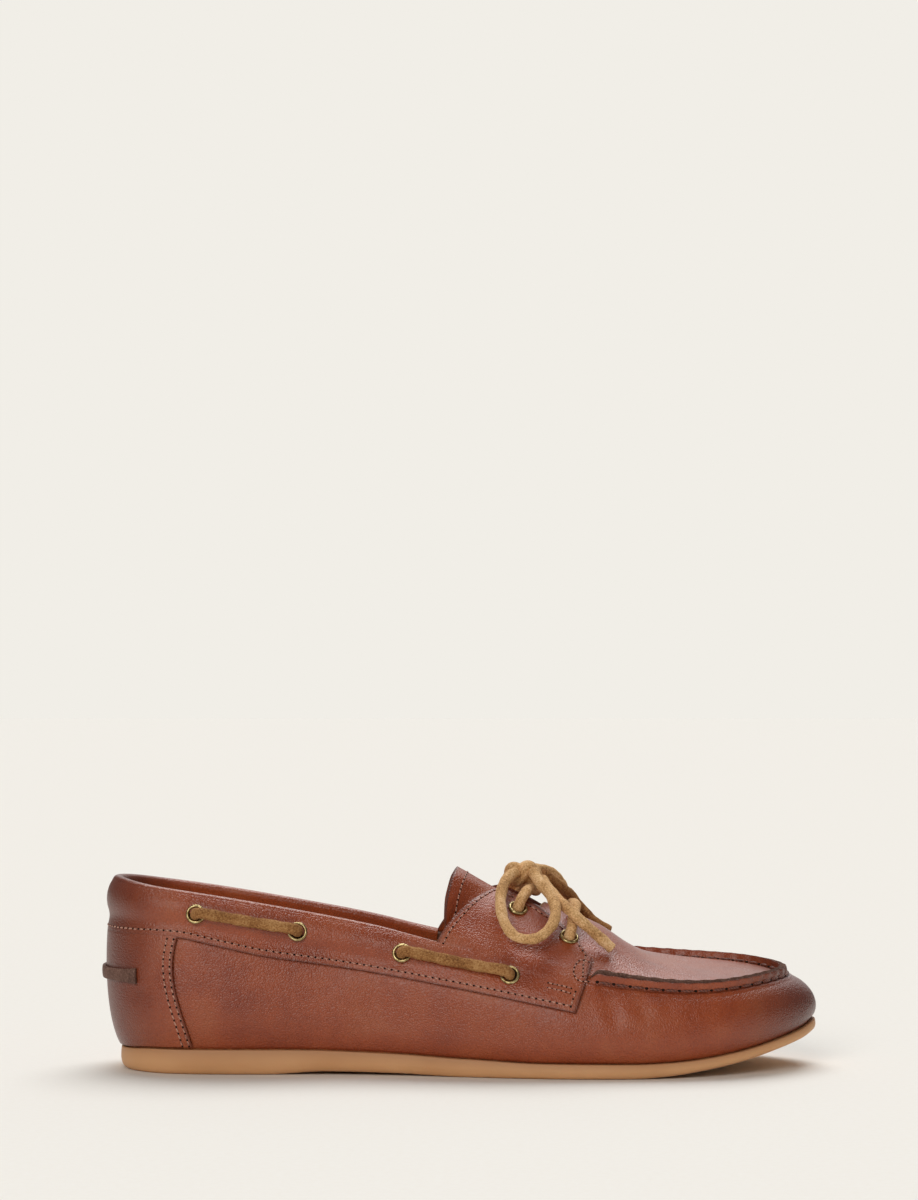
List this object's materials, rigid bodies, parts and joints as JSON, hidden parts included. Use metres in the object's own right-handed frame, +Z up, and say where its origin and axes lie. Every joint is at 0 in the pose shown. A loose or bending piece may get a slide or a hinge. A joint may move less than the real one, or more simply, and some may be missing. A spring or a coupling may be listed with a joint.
{
  "type": "boat shoe",
  "caption": "Low leather boat shoe for the right foot: hollow upper with a raised moccasin seam, side laces through brass eyelets, a bow, and a thin curved rubber sole.",
  "frame": {"origin": "on the floor, at the middle of the shoe's length and width", "axes": "+X towards the toe, +Y towards the inner (medial) side of the foot, +Z up"},
  "size_m": [0.2684, 0.089, 0.0762],
  "materials": {
    "sole_rubber": "moulded gum rubber, satin",
    "lining": "soft unfinished lining leather",
    "upper_leather": "waxed pull-up leather, pebbled grain, burnished toe and heel",
    "strap_leather": "dark brown leather strip",
    "eyelet_brass": "antique brass, worn",
    "lace_suede": "tan suede lace, nap all round"
  },
  "bodies": {
    "root": {"outsole": "sole_rubber", "insole": "lining", "upper": "upper_leather", "collar_band": "upper_leather", "heel_counter": "upper_leather", "tongue": "upper_leather", "heel_strap": "strap_leather", "eyelet_lateral_1": "eyelet_brass", "eyelet_lateral_2": "eyelet_brass", "eyelet_lateral_3": "eyelet_brass", "eyelet_lateral_4": "eyelet_brass", "eyelet_lateral_5": "eyelet_brass", "eyelet_lateral_6": "eyelet_brass", "eyelet_medial_1": "eyelet_brass", "eyelet_medial_2": "eyelet_brass", "eyelet_medial_3": "eyelet_brass", "eyelet_medial_4": "eyelet_brass", "eyelet_medial_5": "eyelet_brass", "eyelet_medial_6": "eyelet_brass", "lace_run_lateral_1": "lace_suede", "lace_run_lateral_2": "lace_suede", "lace_run_medial_1": "lace_suede", "lace_run_medial_2": "lace_suede", "lace_bar_lower": "lace_suede", "lace_bar_upper": "lace_suede", "bow_knot": "lace_suede", "bow_loop_lateral": "lace_suede", "bow_loop_medial": "lace_suede", "lace_end_lateral": "lace_suede", "lace_end_medial": "lace_suede"}
  },
  "joints": []
}
